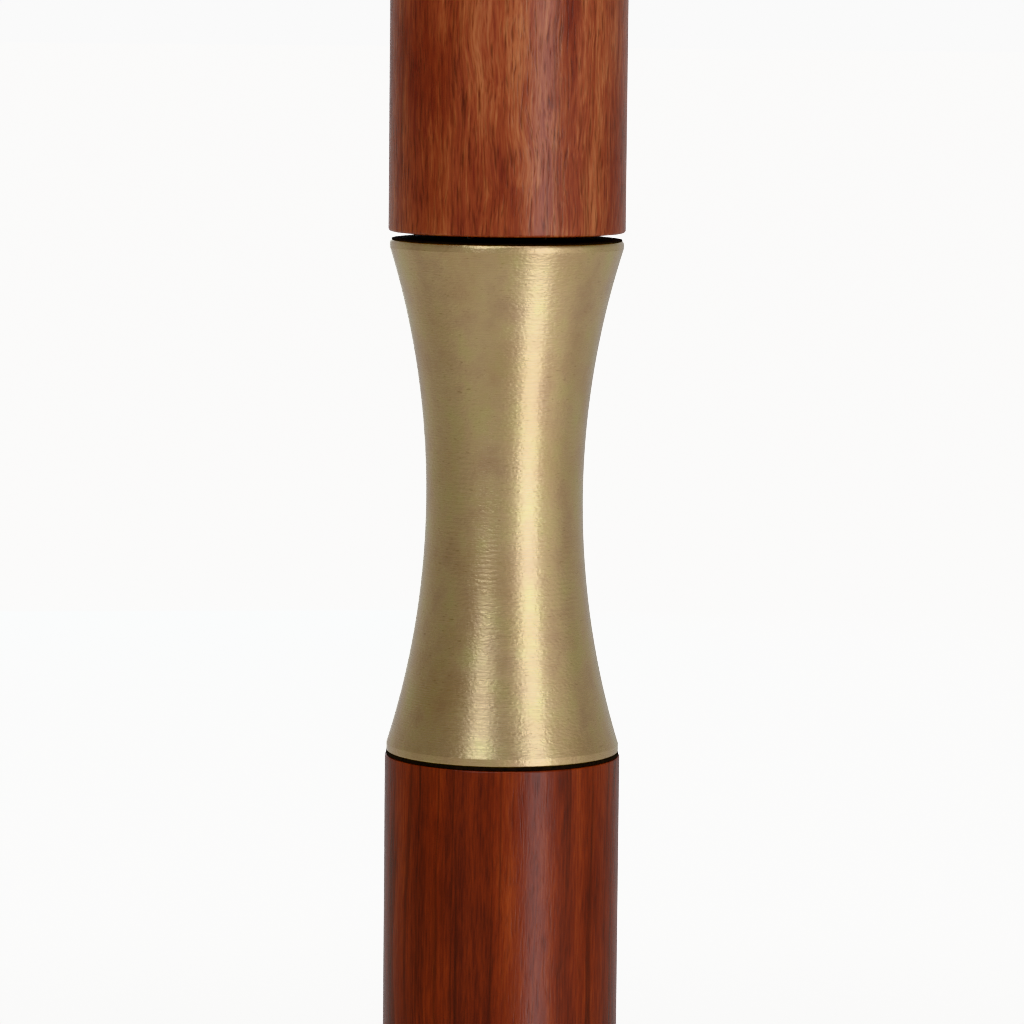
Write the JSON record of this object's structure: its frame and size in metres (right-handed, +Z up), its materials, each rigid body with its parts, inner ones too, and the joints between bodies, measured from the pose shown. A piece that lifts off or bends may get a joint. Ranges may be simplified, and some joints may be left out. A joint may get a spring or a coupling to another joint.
{
  "type": "sectional wooden pole with screw coupling",
  "caption": "Round hardwood pole in two turned sections, joined end to end by a waisted satin brass screw coupling with black gaskets.",
  "frame": {"origin": "centre of the lower section's foot face", "axes": "+Z runs up the pole, from the lower section through the coupling to the upper section; the front view looks along +Y"},
  "size_m": [0.038, 0.038, 0.3442],
  "materials": {
    "lower_hardwood": "satin lacquer over a dark red-brown, straight-grained hardwood",
    "upper_hardwood": "satin lacquer over an orange-brown, straight-grained hardwood",
    "antique_brass": "satin, finely brushed round the axis, lightly mottled with age",
    "turned_brass": "satin, as turned",
    "brass_screw": "bright",
    "plated_steel": "dull zinc plate",
    "black_fibre": "matt",
    "black_rubber": "satin, lightly greased"
  },
  "bodies": {
    "lower_section": {"lower_pole": "lower_hardwood", "foot_socket": "turned_brass", "lower_joint_socket": "turned_brass", "foot_screw_1": "brass_screw", "foot_screw_2": "brass_screw", "foot_screw_3": "brass_screw", "lower_joint_screw_1": "brass_screw", "lower_joint_screw_2": "brass_screw", "lower_joint_screw_3": "brass_screw"},
    "lower_seal": {"lower_o_ring": "black_rubber"},
    "coupling": {"waisted_coupling": "antique_brass", "lower_stud": "plated_steel", "lower_gasket": "black_fibre", "upper_gasket": "black_fibre"},
    "upper_seal": {"upper_o_ring": "black_rubber"},
    "upper_section": {"upper_pole": "upper_hardwood", "upper_stud": "plated_steel", "stud_plate": "turned_brass", "top_socket": "turned_brass", "stud_plate_screw_1": "brass_screw", "stud_plate_screw_2": "brass_screw", "stud_plate_screw_3": "brass_screw", "top_screw_1": "brass_screw", "top_screw_2": "brass_screw", "top_screw_3": "brass_screw"}
  },
  "joints": [
    {"name": "coupling_rise", "type": "slide", "parent": "lower_section", "child": "lower_seal", "axis": [0, 0, 1], "range_m": [0, 0.01125]},
    {"name": "coupling_turn", "type": "hinge", "parent": "lower_seal", "child": "coupling", "pos_m": [0, 0, 0.1306], "axis": [0, 0, 1], "range_deg": [0, 1351]},
    {"name": "upper_pole_rise", "type": "slide", "parent": "coupling", "child": "upper_seal", "axis": [0, 0, 1], "range_m": [-0.0006, 0.01065]},
    {"name": "upper_pole_turn", "type": "hinge", "parent": "upper_seal", "child": "upper_section", "pos_m": [0, 0, 0.2142], "axis": [0, 0, 1], "range_deg": [-73, 1279]}
  ],
  "couplings": [
    {"joint": "coupling_turn", "follows": "coupling_rise", "rad_per_m": 2094.4},
    {"joint": "upper_pole_turn", "follows": "upper_pole_rise", "rad_per_m": 2094.4}
  ]
}
